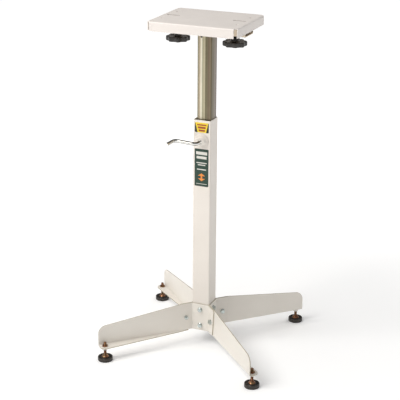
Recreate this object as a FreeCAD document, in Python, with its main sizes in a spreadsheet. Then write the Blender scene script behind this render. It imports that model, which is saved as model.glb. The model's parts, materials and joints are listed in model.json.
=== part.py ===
import FreeCAD, Part
import os

import Sketcher
from FreeCAD import Placement, Rotation, Vector

# Height-adjustable pedestal stand for a benchtop machine, in millimetres.
# Origin: on the floor, on the stand's vertical axis. +Z is up and -Y is the side with the locking handle.
# A steel column carries a folded pan on a cross channel. It telescopes in a square tube, which stands on four
# bent-sheet legs set in a pinwheel. Each leg lies along a diagonal of the tube and ends in a levelling foot.

SIZES = {
    # outer tube
    "tube_side": 63.5, "tube_wall": 2.5, "tube_corner": 4, "tube_bottom": 54, "tube_top": 820,
    # inner column, pushed towards the back wall of the tube by the locking screw, with its play taken up
    "column_side": 50.8, "column_wall": 2, "column_corner": 5, "column_length": 560, "column_setback": 3,
    "column_shift": 3, "vent_radius": 3.5, "vent_drop": 12.5, "vent_side": 7,
    # cross channel under the pan
    "channel_width": 73, "channel_length": 297, "channel_floor": 1111, "channel_sheet": 3, "channel_bend": 5,
    # top pan
    "pan_width": 310, "pan_depth": 260, "pan_top": 1156, "pan_flange": 31, "pan_sheet": 3, "pan_bend": 5,
    "relief_radius": 11, "pan_hole_radius": 4.25, "pan_hole_spacing_x": 260, "pan_hole_spacing_y": 118,
    "slot_spacing": 231, "slot_length": 46, "slot_radius": 6,
    # clamp knobs, their studs, washers and weld nuts
    "knob_spacing": 200, "knob_bottom": 1073.5, "knob_height": 17, "knob_radius": 40.5, "lobe_count": 8,
    "lobe_cut_radius": 9, "lobe_cut_centre": 42.5, "knob_round": 3, "knob_hub_radius": 13,
    "knob_hub_height": 6.5, "knob_insert": 6.5, "clamp_stud_top": 1150.5, "washer_radius": 15,
    "washer_thickness": 2,
    # legs
    "leg_sheet": 3, "leg_bend": 3, "leg_gap": 0.15, "leg_bottom": 48, "leg_top": 152.5, "leg_reach": 391.5,
    "plate_bottom": 52, "flange_top_reach": 94, "flange_bottom_reach": 82, "flange_round": 7,
    "slope_start": 90, "web_tip_top": 118, "web_tip_round": 30, "lip_start": 60, "lip_end_width": 38.1,
    "lip_blank_width": 42, "tab_round": 18, "notch_width": 3, "notch_top": 55, "cut_margin": 2,
    # feet
    "foot_reach": 373.5, "foot_offset": 17.5, "foot_hole_radius": 5.5, "pad_radius": 25.5, "pad_height": 13,
    "pad_rim_width": 3.5, "pad_dish_floor": 8.5, "pad_boss_radius": 14, "pad_boss_top": 11.7,
    "pad_socket_floor": 9.7, "pad_round": 1.5, "foot_stud_bottom": 10, "foot_stud_top": 66.5,
    "foot_hub_radius": 12, "foot_hub_bottom": 12, "foot_hub_height": 10, "foot_hub_rim": 2.5,
    "foot_neck_radius": 6.5,
    # locking handle and its boss
    "lock_height": 750, "lock_rod_radius": 6, "lock_hole_radius": 6.5, "lock_plate_radius": 23,
    "lock_plate_thickness": 4, "lock_boss_base": 20, "lock_boss_front": 13, "lock_boss_length": 12,
    "lock_tip": 22.7, "lock_arm_out": 78, "lock_arm_length": 79, "lock_bend": 14,
    "lock_grip_side": 83, "lock_grip_end": 134, "lock_end_round": 1, "lock_angle": 3.2,
    # M8 flange bolts and nuts
    "bolt_radius": 4, "bolt_hole_radius": 4.25, "bolt_length": 16, "bolt_flange_radius": 8.5,
    "bolt_flange_edge": 1, "bolt_flange_height": 2.4, "bolt_head_height": 8, "small_nut_flats": 13,
    "small_nut_height": 6.5, "tube_bolt_high": 131, "tube_bolt_low": 71, "leg_bolt_reach": 69.4,
    "leg_bolt_height": 100,
    # M10 studs and nuts
    "stud_radius": 5, "stud_hole_radius": 5.5, "stud_chamfer": 1, "big_nut_flats": 17, "big_nut_height": 8,
    "jam_nut_height": 5,
    # radial clearance of a shaft in its hole
    "running_fit": 0.05,
    # labels on the front of the outer tube
    "label_width": 50, "label_thickness": 0.3, "label_round": 3, "upper_label_bottom": 778,
    "upper_label_height": 34, "lower_label_bottom": 589, "lower_label_height": 132,
}

ABOUT_Z = Vector(0, 0, 1)
ABOUT_Y = Vector(0, 1, 0)
FACING_FRONT = Rotation(Vector(1, 0, 0), 90)    # turns +Z to -Y
FACING_BACK = Rotation(Vector(1, 0, 0), -90)    # turns +Z to +Y

# The first leg's plate is on the front of the tube and its web runs along the front left diagonal.
FIRST_DIAGONAL = 225
NEXT_DIAGONAL = FIRST_DIAGONAL + 90
CORNER_TURNS = {"front_left": 0, "front_right": 90, "back_right": 180, "back_left": 270}
SIDE_SIGNS = {"left": "-1", "right": "1"}
HEX_SIDES = 6
BASE_POINT, END_POINT, CENTRE_POINT = 1, 2, 3    # a sketch's numbers for a line's start, its end and a centre
ORIGIN, Y_AXIS = -1, -2                          # and for its origin with the X axis, and its Y axis
TINY = 1e-6

doc = FreeCAD.newDocument("pedestal_stand")


def make_sheet():
    """Write the driving dimensions into a spreadsheet, one aliased cell each."""
    sheet = doc.addObject("Spreadsheet::Sheet", "Sizes")
    for row, (alias, number) in enumerate(SIZES.items(), start=1):
        sheet.set(f"A{row}", alias)
        sheet.set(f"B{row}", str(number))
        sheet.setAlias(f"B{row}", alias)
    doc.recompute()
    return sheet


sheet = make_sheet()


def measure(formula):
    """The number that a formula of the sheet's cells gives now."""
    return float(sheet.evalExpression(formula))


# ---------------------------------------------------------------- sketches

def start_sketch(body, name, plane, height="0", turn=0):
    """A sketch on one of the body's origin planes, raised along its normal and turned about the vertical."""
    support = next(item for item in body.Origin.OriginFeatures if item.Role == plane)
    sketch = body.newObject("Sketcher::SketchObject", f"{body.Name}_{name}")
    sketch.AttachmentSupport = (support, [""])
    sketch.MapMode = "FlatFace"
    vertical_in_sketch = ABOUT_Z if plane == "XY_Plane" else ABOUT_Y
    sketch.AttachmentOffset = Placement(Vector(), Rotation(vertical_in_sketch, turn))
    sketch.setExpression("AttachmentOffset.Base.z", height)
    return sketch


def tie_point(sketch, shape_number, point, x, y):
    """Bind one point of a sketch to formulas for its two coordinates."""
    for kind, axis, formula in (("DistanceX", Y_AXIS, x), ("DistanceY", ORIGIN, y)):
        number = measure(formula)
        if abs(number) < TINY:
            sketch.addConstraint(Sketcher.Constraint("PointOnObject", shape_number, point, axis))
        else:
            rule = Sketcher.Constraint(kind, ORIGIN, BASE_POINT, shape_number, point, number)
            index = sketch.addConstraint(rule)
            sketch.setExpression(f"Constraints[{index}]", formula)


def tie_radius(sketch, shape_number, radius):
    """Bind the radius of an arc or circle to a formula."""
    index = sketch.addConstraint(Sketcher.Constraint("Radius", shape_number, measure(radius)))
    sketch.setExpression(f"Constraints[{index}]", radius)


def draw_outline(sketch, corners, rounds=None, closed=True):
    """Straight lines through the corners, with an arc of the given radius at each corner in rounds."""
    points = [Vector(measure(x), measure(y), 0) for x, y in corners]
    first = sketch.GeometryCount
    ends = points[1:] + points[:1] if closed else points[1:]
    for start, end in zip(points, ends):
        sketch.addGeometry(Part.LineSegment(start, end))
    count = len(ends)
    for step in range(count if closed else count - 1):
        following = first + (step + 1) % count
        joint = Sketcher.Constraint("Coincident", first + step, END_POINT, following, BASE_POINT)
        sketch.addConstraint(joint)
    for step in range(count):
        tie_point(sketch, first + step, BASE_POINT, *corners[step])
    if not closed:
        tie_point(sketch, first + count - 1, END_POINT, *corners[-1])
    for corner, radius in (rounds or {}).items():
        line_before = first + (corner - 1) % count
        sketch.fillet(line_before, END_POINT, measure(radius), True, True)
        arc = sketch.GeometryCount - 2
        tie_radius(sketch, arc, radius)


def draw_rectangle(sketch, left, right, low, high, radius=None):
    """A rectangle, with its four corners rounded if a radius is given."""
    corners = [(left, low), (right, low), (right, high), (left, high)]
    rounds = {corner: radius for corner in range(len(corners))} if radius else None
    draw_outline(sketch, corners, rounds)


def draw_circle(sketch, x, y, radius):
    """A circle with its centre and radius bound to formulas."""
    centre = Vector(measure(x), measure(y), 0)
    number = sketch.addGeometry(Part.Circle(centre, ABOUT_Z, measure(radius)))
    tie_point(sketch, number, CENTRE_POINT, x, y)
    tie_radius(sketch, number, radius)


def draw_hexagon(sketch, flats):
    """A regular hexagon about the sketch's origin, from its width across flats."""
    angles = [360 / HEX_SIDES * step for step in range(HEX_SIDES)]
    corner_radius = f"({flats}) / sqrt(3)"
    draw_outline(sketch, [(f"{corner_radius} * cos({angle} deg)", f"{corner_radius} * sin({angle} deg)")
                          for angle in angles])


def draw_slot(sketch, centre_x, length, radius):
    """A slot along X on the sketch's X axis, from its overall length and end radius."""
    half_run = f"(({length}) / 2 - ({radius}))"
    left = f"({centre_x}) - {half_run}"
    right = f"({centre_x}) + {half_run}"
    bottom_angle, top_angle, full_turn = (measure(f"{turns} * pi") for turns in (1.5, 0.5, 2))
    size = measure(radius)
    arcs = []
    for x, start, end in ((left, top_angle, bottom_angle), (right, bottom_angle, full_turn + top_angle)):
        circle = Part.Circle(Vector(measure(x), 0, 0), ABOUT_Z, size)
        arcs.append(sketch.addGeometry(Part.ArcOfCircle(circle, start, end)))
    lines = []
    for start_x, end_x, y in ((left, right, -size), (right, left, size)):
        line = Part.LineSegment(Vector(measure(start_x), y, 0), Vector(measure(end_x), y, 0))
        lines.append(sketch.addGeometry(line))
    for arc, line in zip(arcs, lines):
        sketch.addConstraint(Sketcher.Constraint("Tangent", arc, END_POINT, line, BASE_POINT))
    for line, arc in zip(lines, reversed(arcs)):
        sketch.addConstraint(Sketcher.Constraint("Tangent", line, END_POINT, arc, BASE_POINT))
    for arc, x in zip(arcs, (left, right)):
        tie_point(sketch, arc, CENTRE_POINT, x, "0")
        tie_radius(sketch, arc, radius)


# ---------------------------------------------------------------- features

def start_body(name):
    return doc.addObject("PartDesign::Body", name)


def pad(body, sketch, length, both_ways=False):
    """Add the sketch's area as a solid of the given length along its normal, or half of it each way."""
    feature = body.newObject("PartDesign::Pad", f"{sketch.Name}_pad")
    feature.Profile = sketch
    feature.Midplane = both_ways
    feature.setExpression("Length", length)
    doc.recompute()
    return feature


def pocket(body, sketch, depth=None):
    """Cut the sketch's area to a depth against its normal, or with no depth right through both ways."""
    before = body.Shape.Volume
    feature = body.newObject("PartDesign::Pocket", f"{sketch.Name}_pocket")
    feature.Profile = sketch
    if depth is None:
        feature.Type = "ThroughAll"
        feature.Midplane = True
    else:
        feature.setExpression("Length", depth)
    doc.recompute()
    if body.Shape.Volume > before - TINY:
        raise RuntimeError(f"{feature.Name} cuts nothing")
    return feature


def turned(body, sketch, cut=False):
    """Revolve the sketch about its vertical axis, as added or as cut material."""
    before = body.Shape.Volume if cut else None
    kind = "Groove" if cut else "Revolution"
    feature = body.newObject(f"PartDesign::{kind}", f"{sketch.Name}_{kind.lower()}")
    feature.Profile = sketch
    feature.ReferenceAxis = (sketch, ["V_Axis"])
    feature.Angle = 360
    doc.recompute()
    if cut and body.Shape.Volume > before - TINY:
        raise RuntimeError(f"{feature.Name} cuts nothing")
    return feature


def edges_at(shape, points):
    """The names of the edges nearest to the points."""
    names = []
    for point in points:
        vertex = Part.Vertex(point)
        distances = [edge.distToShape(vertex)[0] for edge in shape.Edges]
        names.append(f"Edge{distances.index(min(distances)) + 1}")
    return names


def soften(body, points, radius, kind="Fillet"):
    """Fillet or chamfer the edges nearest to the points."""
    names = edges_at(body.Shape, points)
    feature = body.newObject(f"PartDesign::{kind}", f"{body.Name}_{kind.lower()}")
    feature.Base = (body.Group[-2], names)
    feature.setExpression("Size" if kind == "Chamfer" else "Radius", radius)
    doc.recompute()
    return feature


def put(item, turn=0, x="0", y="0", z="0", facing=None):
    """Move an object to x, y, z in a frame that is turned about the stand's axis, and face it as asked."""
    item.Placement = Placement(Vector(), Rotation(ABOUT_Z, turn) * (facing or Rotation()))
    item.setExpression("Placement.Base.x", f"({x}) * cos({turn} deg) - ({y}) * sin({turn} deg)")
    item.setExpression("Placement.Base.y", f"({x}) * sin({turn} deg) + ({y}) * cos({turn} deg)")
    item.setExpression("Placement.Base.z", z)
    return item


def group(name, pattern, places):
    """Copies of one pattern body, each at its own place, together in one sub-part."""
    copies = []
    for number, place in enumerate(places, start=1):
        copy = doc.addObject("App::Link", f"{name}_{number}")
        copy.LinkedObject = pattern
        copies.append(put(copy, **place))
    compound = doc.addObject("Part::Compound", name)
    compound.Links = copies
    return compound


def diagonal_point(along, lateral, z, diagonal=FIRST_DIAGONAL):
    """A point from its distance along a diagonal and its distance to the anticlockwise side of it."""
    flat = Rotation(ABOUT_Z, diagonal).multVec(Vector(measure(along), measure(lateral), 0))
    return flat + Vector(0, 0, measure(z))


# ---------------------------------------------------------------- tube and column

def make_square_tube(name, side, wall, corner, bottom, length, centre_x="0", centre_y="0"):
    body = start_body(name)
    section = start_sketch(body, "section", "XY_Plane", bottom)
    for inset in ("0", wall):
        half = f"({side} / 2 - {inset})"
        draw_rectangle(section, f"{centre_x} - {half}", f"{centre_x} + {half}", f"{centre_y} - {half}",
                       f"{centre_y} + {half}", f"{corner} - {inset}")
    pad(body, section, length)
    return body


def make_outer_tube():
    body = make_square_tube("outer_tube", "Sizes.tube_side", "Sizes.tube_wall", "Sizes.tube_corner",
                            "Sizes.tube_bottom", "Sizes.tube_top - Sizes.tube_bottom")
    for plane in ("XZ_Plane", "YZ_Plane"):
        bolt_holes = start_sketch(body, f"bolt_holes_{plane[:2]}", plane)
        for bolt_height in ("Sizes.tube_bolt_high", "Sizes.tube_bolt_low"):
            draw_circle(bolt_holes, "0", bolt_height, "Sizes.bolt_hole_radius")
        pocket(body, bolt_holes)
    lock_hole = start_sketch(body, "lock_hole", "XZ_Plane", "Sizes.tube_side / 2 + Sizes.cut_margin")
    draw_circle(lock_hole, "0", "Sizes.lock_height", "Sizes.lock_hole_radius")
    pocket(body, lock_hole, "Sizes.tube_side / 2")
    return body


def make_inner_column():
    body = make_square_tube("inner_column", "Sizes.column_side", "Sizes.column_wall", "Sizes.column_corner",
                            "Sizes.channel_floor - Sizes.column_length", "Sizes.column_length",
                            "Sizes.column_shift", "Sizes.column_setback")
    vent = start_sketch(body, "vent", "XZ_Plane", "Sizes.column_side / 2")
    draw_circle(vent, "-Sizes.vent_side", "Sizes.channel_floor - Sizes.vent_drop", "Sizes.vent_radius")
    pocket(body, vent, "Sizes.column_side / 2")
    return body


# ---------------------------------------------------------------- channel and pan

def make_head_channel():
    body = start_body("head_channel")
    section = start_sketch(body, "section", "YZ_Plane")
    half = "Sizes.channel_width / 2"
    inner = f"{half} - Sizes.channel_sheet"
    floor_top = "Sizes.channel_floor + Sizes.channel_sheet"
    pan_underside = "Sizes.pan_top - Sizes.pan_sheet"
    corners = [(f"-{half}", "Sizes.channel_floor"), (half, "Sizes.channel_floor"), (half, pan_underside),
               (inner, pan_underside), (inner, floor_top), (f"-({inner})", floor_top),
               (f"-({inner})", pan_underside), (f"-{half}", pan_underside)]
    outer_bend = "Sizes.channel_bend"
    inner_bend = "Sizes.channel_bend - Sizes.channel_sheet"
    draw_outline(section, corners, {0: outer_bend, 1: outer_bend, 4: inner_bend, 5: inner_bend})
    pad(body, section, "Sizes.channel_length", both_ways=True)
    stud_holes = start_sketch(body, "stud_holes", "XY_Plane", floor_top)
    for sign in SIDE_SIGNS.values():
        draw_circle(stud_holes, f"{sign} * Sizes.knob_spacing / 2", "0", "Sizes.stud_hole_radius")
    pocket(body, stud_holes)
    return body


def make_top_pan():
    body = start_body("top_pan")
    half_x, half_y = "Sizes.pan_width / 2", "Sizes.pan_depth / 2"
    blank = start_sketch(body, "blank", "XY_Plane", "Sizes.pan_top - Sizes.pan_flange")
    draw_rectangle(blank, f"-{half_x}", half_x, f"-{half_y}", half_y)
    pad(body, blank, "Sizes.pan_flange")
    round_top_edges(body, half_x, half_y, "Sizes.pan_top", "Sizes.pan_bend")

    inside = start_sketch(body, "inside", "XY_Plane", "Sizes.pan_top - Sizes.pan_sheet")
    inner_x, inner_y = f"{half_x} - Sizes.pan_sheet", f"{half_y} - Sizes.pan_sheet"
    draw_rectangle(inside, f"-({inner_x})", inner_x, f"-({inner_y})", inner_y)
    pocket(body, inside, "Sizes.pan_flange")
    round_top_edges(body, inner_x, inner_y, "Sizes.pan_top - Sizes.pan_sheet",
                    "Sizes.pan_bend - Sizes.pan_sheet")

    openings = start_sketch(body, "openings", "XY_Plane", "Sizes.pan_top")
    for sign_x in SIDE_SIGNS.values():
        for sign_y in SIDE_SIGNS.values():
            draw_circle(openings, f"{sign_x} * {half_x}", f"{sign_y} * {half_y}", "Sizes.relief_radius")
            draw_circle(openings, f"{sign_x} * Sizes.pan_hole_spacing_x / 2",
                        f"{sign_y} * Sizes.pan_hole_spacing_y / 2", "Sizes.pan_hole_radius")
        draw_slot(openings, f"{sign_x} * Sizes.slot_spacing / 2", "Sizes.slot_length", "Sizes.slot_radius")
    pocket(body, openings)
    return body


def round_top_edges(body, half_x, half_y, height, radius):
    """Fillet the four edges of a rectangle at one height."""
    across, along, level = measure(half_x), measure(half_y), measure(height)
    middles = [(across, 0), (-across, 0), (0, along), (0, -along)]
    soften(body, [Vector(x, y, level) for x, y in middles], radius)


# ---------------------------------------------------------------- clamp knobs

def make_knob(side):
    """A star knob about the vertical axis, with a hub on top and a blind hole for its stud."""
    body = start_body(f"knob_{side}")
    disc = start_sketch(body, "disc", "XY_Plane", "Sizes.knob_bottom")
    draw_circle(disc, "0", "0", "Sizes.knob_radius")
    pad(body, disc, "Sizes.knob_height")
    lobe_cut = start_sketch(body, "lobe_cut", "XY_Plane", "Sizes.knob_bottom")
    draw_circle(lobe_cut, "Sizes.lobe_cut_centre", "0", "Sizes.lobe_cut_radius")
    first_cut = pocket(body, lobe_cut)
    lobes = body.newObject("PartDesign::PolarPattern", f"{body.Name}_lobes")
    lobes.Originals = [first_cut]
    lobes.Axis = (lobe_cut, ["N_Axis"])
    lobes.Angle = 360
    lobes.setExpression("Occurrences", "Sizes.lobe_count")
    body.Tip = lobes
    doc.recompute()
    between_cuts = Rotation(ABOUT_Z, 180 / measure("Sizes.lobe_count")).multVec(Vector(1, 0, 0))
    rim = between_cuts * measure("Sizes.knob_radius")
    levels = [measure("Sizes.knob_bottom"), measure("Sizes.knob_bottom + Sizes.knob_height")]
    soften(body, [rim + Vector(0, 0, level) for level in levels], "Sizes.knob_round")

    hub = start_sketch(body, "hub", "XY_Plane", "Sizes.knob_bottom + Sizes.knob_height")
    draw_circle(hub, "0", "0", "Sizes.knob_hub_radius")
    pad(body, hub, "Sizes.knob_hub_height")
    hub_top = "Sizes.knob_bottom + Sizes.knob_height + Sizes.knob_hub_height"
    stud_hole = start_sketch(body, "stud_hole", "XY_Plane", hub_top)
    draw_circle(stud_hole, "0", "0", "Sizes.stud_radius + Sizes.running_fit")
    pocket(body, stud_hole, f"{hub_top} - Sizes.knob_bottom - Sizes.knob_insert + Sizes.running_fit")
    return put(body, x=f"{SIDE_SIGNS[side]} * Sizes.knob_spacing / 2")


def make_knob_stud(side):
    body = start_body(f"knob_stud_{side}")
    bottom = "Sizes.knob_bottom + Sizes.knob_insert"
    section = start_sketch(body, "section", "XY_Plane", bottom)
    draw_circle(section, "0", "0", "Sizes.stud_radius")
    pad(body, section, f"Sizes.clamp_stud_top - ({bottom})")
    top_rim = Vector(-measure("Sizes.stud_radius"), 0, measure("Sizes.clamp_stud_top"))
    soften(body, [top_rim], "Sizes.stud_chamfer", "Chamfer")
    return put(body, x=f"{SIDE_SIGNS[side]} * Sizes.knob_spacing / 2")


def make_clamp_washer(side):
    body = start_body(f"clamp_washer_{side}")
    ring = start_sketch(body, "ring", "XY_Plane",
                        "Sizes.knob_bottom + Sizes.knob_height + Sizes.knob_hub_height")
    draw_circle(ring, "0", "0", "Sizes.washer_radius")
    draw_circle(ring, "0", "0", "Sizes.stud_radius + Sizes.running_fit")
    pad(body, ring, "Sizes.washer_thickness")
    return put(body, x=f"{SIDE_SIGNS[side]} * Sizes.knob_spacing / 2")


# ---------------------------------------------------------------- legs

def make_leg(corner):
    """One bent-sheet leg: a plate on the tube, a web along one diagonal and a short flange along the next."""
    body = start_body(f"leg_{corner}")
    bend_leg_plan(body)
    fold_leg_lip(body)
    trim_leg_web(body)
    trim_leg_flange(body)
    drill_leg(body)
    return put(body, CORNER_TURNS[corner])


def bend_leg_plan(body):
    """The plate, the web and the short flange, as one strip of sheet on edge."""
    plan = start_sketch(body, "plan", "XY_Plane", "Sizes.leg_bottom")
    corners = []
    for along_left, along_right, depth in (("Sizes.leg_reach", "Sizes.flange_top_reach", "0"),
                                           ("Sizes.leg_reach", "Sizes.flange_top_reach", "Sizes.leg_sheet")):
        lateral = f"(Sizes.leg_gap + {depth})"
        face = f"(Sizes.tube_side / 2 + {depth})"
        side = [(f"(-{along_left} + {lateral}) / sqrt(2)", f"(-{along_left} - {lateral}) / sqrt(2)"),
                (f"-{face} + {lateral} * sqrt(2)", f"-{face}"),
                (f"{face} - {lateral} * sqrt(2)", f"-{face}"),
                (f"({along_right} - {lateral}) / sqrt(2)", f"(-{along_right} - {lateral}) / sqrt(2)")]
        corners += side if depth == "0" else reversed(side)
    outer, inner = "Sizes.leg_bend + Sizes.leg_sheet", "Sizes.leg_bend"
    draw_outline(plan, corners, {1: outer, 2: outer, 5: inner, 6: inner})
    pad(body, plan, "Sizes.leg_top - Sizes.leg_bottom")


def fold_leg_lip(body):
    """The bottom lip, folded out of the web beyond a relief notch, tapered, and rounded at its tip."""
    outer_face = "Sizes.leg_gap + Sizes.leg_sheet"
    lip = start_sketch(body, "lip", "XY_Plane", "Sizes.leg_bottom", FIRST_DIAGONAL)
    draw_rectangle(lip, "Sizes.lip_start", "Sizes.leg_reach", "Sizes.leg_gap", "Sizes.lip_blank_width")
    pad(body, lip, "Sizes.leg_sheet")
    inner_end, notch_side = "-(Sizes.leg_gap + 2 * Sizes.leg_sheet)", "Sizes.lip_start - Sizes.notch_width"
    raised = start_sketch(body, "raised_bottom", "XZ_Plane", turn=FIRST_DIAGONAL)
    draw_outline(raised, [(inner_end, "Sizes.leg_bottom"), ("Sizes.lip_start", "Sizes.leg_bottom"),
                          ("Sizes.lip_start", "Sizes.notch_top"), (notch_side, "Sizes.notch_top"),
                          (notch_side, "Sizes.plate_bottom"), (inner_end, "Sizes.plate_bottom")])
    pocket(body, raised)
    middle = "(Sizes.lip_start + Sizes.leg_reach) / 2"
    inner_edge = diagonal_point(middle, outer_face, "Sizes.leg_bottom + Sizes.leg_sheet")
    soften(body, [inner_edge], "Sizes.leg_bend")
    outer_edge = diagonal_point(middle, "Sizes.leg_gap", "Sizes.leg_bottom")
    soften(body, [outer_edge], "Sizes.leg_bend + Sizes.leg_sheet")

    taper = start_sketch(body, "taper", "XY_Plane", "Sizes.leg_bottom", FIRST_DIAGONAL)
    draw_outline(taper, [("Sizes.lip_start", outer_face), ("Sizes.leg_reach", "Sizes.lip_end_width"),
                         ("Sizes.leg_reach", "Sizes.lip_blank_width"),
                         ("Sizes.lip_start", "Sizes.lip_blank_width")])
    pocket(body, taper)
    tip = diagonal_point("Sizes.leg_reach", "Sizes.lip_end_width", "Sizes.leg_bottom + Sizes.leg_sheet / 2")
    soften(body, [tip], "Sizes.tab_round")


def trim_leg_web(body):
    """Slope the web's top edge down to its rounded tip."""
    slope = start_sketch(body, "slope", "XZ_Plane", turn=FIRST_DIAGONAL)
    above = "Sizes.leg_top + Sizes.cut_margin"
    draw_outline(slope, [("Sizes.slope_start", "Sizes.leg_top"), ("Sizes.leg_reach", "Sizes.web_tip_top"),
                         ("Sizes.leg_reach", above), ("Sizes.slope_start", above)])
    pocket(body, slope)
    middle_of_sheet = "Sizes.leg_gap + Sizes.leg_sheet / 2"
    tip = diagonal_point("Sizes.leg_reach", middle_of_sheet, "Sizes.web_tip_top")
    soften(body, [tip], "Sizes.web_tip_round")


def trim_leg_flange(body):
    """Lean the short flange's outer edge, wider at the top, and round its two corners."""
    corners = [("Sizes.flange_bottom_reach", "Sizes.plate_bottom"),
               ("Sizes.flange_top_reach", "Sizes.leg_top")]
    beyond = "Sizes.flange_top_reach + Sizes.cut_margin"
    lean = start_sketch(body, "lean", "XZ_Plane", turn=NEXT_DIAGONAL)
    draw_outline(lean, corners + [(beyond, "Sizes.leg_top"), (beyond, "Sizes.plate_bottom")])
    pocket(body, lean)
    middle_of_sheet = "-(Sizes.leg_gap + Sizes.leg_sheet / 2)"
    edges = [diagonal_point(along, middle_of_sheet, level, NEXT_DIAGONAL) for along, level in corners]
    soften(body, edges, "Sizes.flange_round")


def drill_leg(body):
    """Two holes for the tube bolts, one through the web and one through the flange, and one for the foot."""
    plate_holes = start_sketch(body, "plate_holes", "XZ_Plane")
    for height in ("Sizes.tube_bolt_high", "Sizes.tube_bolt_low"):
        draw_circle(plate_holes, "0", height, "Sizes.bolt_hole_radius")
    pocket(body, plate_holes)
    for name, diagonal in (("web_hole", FIRST_DIAGONAL), ("flange_hole", NEXT_DIAGONAL)):
        hole = start_sketch(body, name, "XZ_Plane", turn=diagonal)
        draw_circle(hole, "Sizes.leg_bolt_reach", "Sizes.leg_bolt_height", "Sizes.bolt_hole_radius")
        pocket(body, hole)
    foot_hole = start_sketch(body, "foot_hole", "XY_Plane", "Sizes.leg_bottom", FIRST_DIAGONAL)
    draw_circle(foot_hole, "Sizes.foot_reach", "Sizes.foot_offset", "Sizes.foot_hole_radius")
    pocket(body, foot_hole)


# ---------------------------------------------------------------- feet

def put_at_foot(item, corner, z="0"):
    return put(item, FIRST_DIAGONAL + CORNER_TURNS[corner], "Sizes.foot_reach", "Sizes.foot_offset", z)


def make_foot_pad(corner):
    """A round pad with a raised rim and, in its middle, a boss with a socket for the foot stud."""
    body = start_body(f"foot_pad_{corner}")
    profile = start_sketch(body, "profile", "XZ_Plane")
    rim_inside = "Sizes.pad_radius - Sizes.pad_rim_width"
    socket_radius = "Sizes.stud_radius + Sizes.running_fit"
    corners = [("0", "0"), ("Sizes.pad_radius", "0"), ("Sizes.pad_radius", "Sizes.pad_height"),
               (rim_inside, "Sizes.pad_height"), (rim_inside, "Sizes.pad_dish_floor"),
               ("Sizes.pad_boss_radius", "Sizes.pad_dish_floor"),
               ("Sizes.pad_boss_radius", "Sizes.pad_boss_top"),
               (socket_radius, "Sizes.pad_boss_top"), (socket_radius, "Sizes.pad_socket_floor"),
               ("0", "Sizes.pad_socket_floor")]
    draw_outline(profile, corners, {corner: "Sizes.pad_round" for corner in (1, 2, 3, 4, 5, 6)})
    turned(body, profile)
    return put_at_foot(body, corner)


def make_foot_stud(corner):
    """A threaded stud with a conical hub just above its pad."""
    body = start_body(f"foot_stud_{corner}")
    profile = start_sketch(body, "profile", "XZ_Plane")
    hub_top = "Sizes.foot_hub_bottom + Sizes.foot_hub_height"
    corners = [("0", "Sizes.foot_stud_bottom"), ("Sizes.stud_radius", "Sizes.foot_stud_bottom"),
               ("Sizes.stud_radius", "Sizes.foot_hub_bottom"),
               ("Sizes.foot_hub_radius", "Sizes.foot_hub_bottom"),
               ("Sizes.foot_hub_radius", "Sizes.foot_hub_bottom + Sizes.foot_hub_rim"),
               ("Sizes.foot_neck_radius", hub_top), ("Sizes.stud_radius", hub_top),
               ("Sizes.stud_radius", "Sizes.foot_stud_top - Sizes.stud_chamfer"),
               ("Sizes.stud_radius - Sizes.stud_chamfer", "Sizes.foot_stud_top"),
               ("0", "Sizes.foot_stud_top")]
    draw_outline(profile, corners)
    turned(body, profile)
    return put_at_foot(body, corner)


# ---------------------------------------------------------------- locking handle

def make_lock_ring(name, back_radius, front_radius, hole_radius, start, length):
    """A ring about the locking screw's axis, in front of the tube, straight or tapering towards the front."""
    body = start_body(name)
    profile = start_sketch(body, "profile", "XY_Plane")
    front = f"-({start} + {length})"
    draw_outline(profile, [(hole_radius, f"-({start})"), (back_radius, f"-({start})"), (front_radius, front),
                           (hole_radius, front)])
    turned(body, profile)
    return put(body, z="Sizes.lock_height")


def make_lock_screw():
    """One bent rod: the clamping screw, the crank's arm and its grip."""
    body = start_body("lock_screw")
    path = start_sketch(body, "path", "XY_Plane")
    corners = [("0", "-Sizes.lock_tip"), ("0", "-Sizes.lock_arm_out"),
               ("-Sizes.lock_arm_length", "-Sizes.lock_arm_out"),
               ("-Sizes.lock_grip_side", "-Sizes.lock_grip_end")]
    draw_outline(path, corners, {1: "Sizes.lock_bend", 2: "Sizes.lock_bend"}, closed=False)
    section = start_sketch(body, "section", "XZ_Plane", "Sizes.lock_tip")
    draw_circle(section, "0", "0", "Sizes.lock_rod_radius")
    rod = body.newObject("PartDesign::AdditivePipe", "lock_rod")
    rod.Profile = section
    rod.Spine = path
    doc.recompute()
    screw_tip = Vector(-measure("Sizes.lock_rod_radius"), -measure("Sizes.lock_tip"), 0)
    soften(body, [screw_tip], "Sizes.lock_end_round", "Chamfer")
    grip_outside = measure("-Sizes.lock_grip_side - Sizes.lock_rod_radius")
    soften(body, [Vector(grip_outside, -measure("Sizes.lock_grip_end"), 0)], "Sizes.lock_end_round")
    return put(body, z="Sizes.lock_height", facing=Rotation(ABOUT_Y, measure("Sizes.lock_angle")))


# ---------------------------------------------------------------- fasteners and labels

def cut_hex_corners(body, flats, top):
    """Bevel the corners of a hexagon's top face, as on a real nut or bolt head."""
    bevel = start_sketch(body, "bevel", "XZ_Plane")
    corner_radius = f"{flats} / sqrt(3)"
    draw_outline(bevel, [(f"{flats} / 2", top), (corner_radius, top),
                         (corner_radius, f"{top} - ({corner_radius} - {flats} / 2) * tan(30 deg)")])
    turned(body, bevel, cut=True)


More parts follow.
